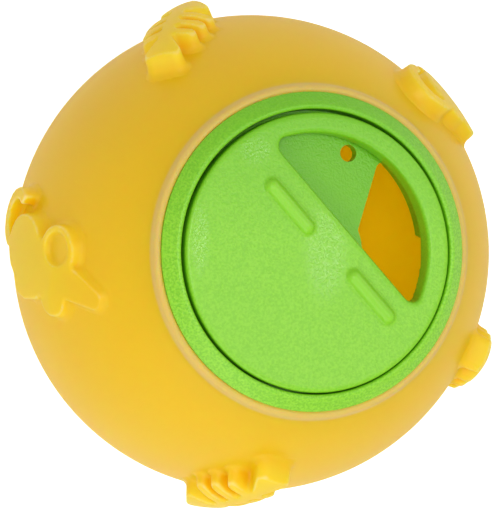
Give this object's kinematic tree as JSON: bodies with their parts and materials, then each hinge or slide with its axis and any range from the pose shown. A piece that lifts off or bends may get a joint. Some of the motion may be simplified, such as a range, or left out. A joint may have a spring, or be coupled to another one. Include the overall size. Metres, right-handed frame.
{
  "type": "treat dispensing ball",
  "caption": "Hollow soft ball with raised fish skeletons and mice, and a round dispenser in its mouth: a dial with a D-shaped window turns over an opening in a fixed floor.",
  "frame": {"origin": "middle of the ball", "axes": "+Z runs out through the middle of the dial; +Y is up in the picture and +X to its right"},
  "size_m": [0.0824, 0.0836, 0.0745],
  "materials": {
    "soft_yellow": "soft moulded vinyl, satin with a slight sheen",
    "insert_green": "moulded plastic with a fine spark-eroded grain",
    "dial_green": "moulded plastic with a fine spark-eroded grain, polished near the ribs"
  },
  "bodies": {
    "ball": {"ball_shell": "soft_yellow", "dispenser_insert": "insert_green"},
    "dial": {"dial": "dial_green"}
  },
  "joints": [
    {"name": "dial_turn", "type": "hinge", "parent": "ball", "child": "dial", "pos_m": [0, 0, 0.0317], "axis": [0, 0, 1], "range_deg": [-60, 120]}
  ]
}
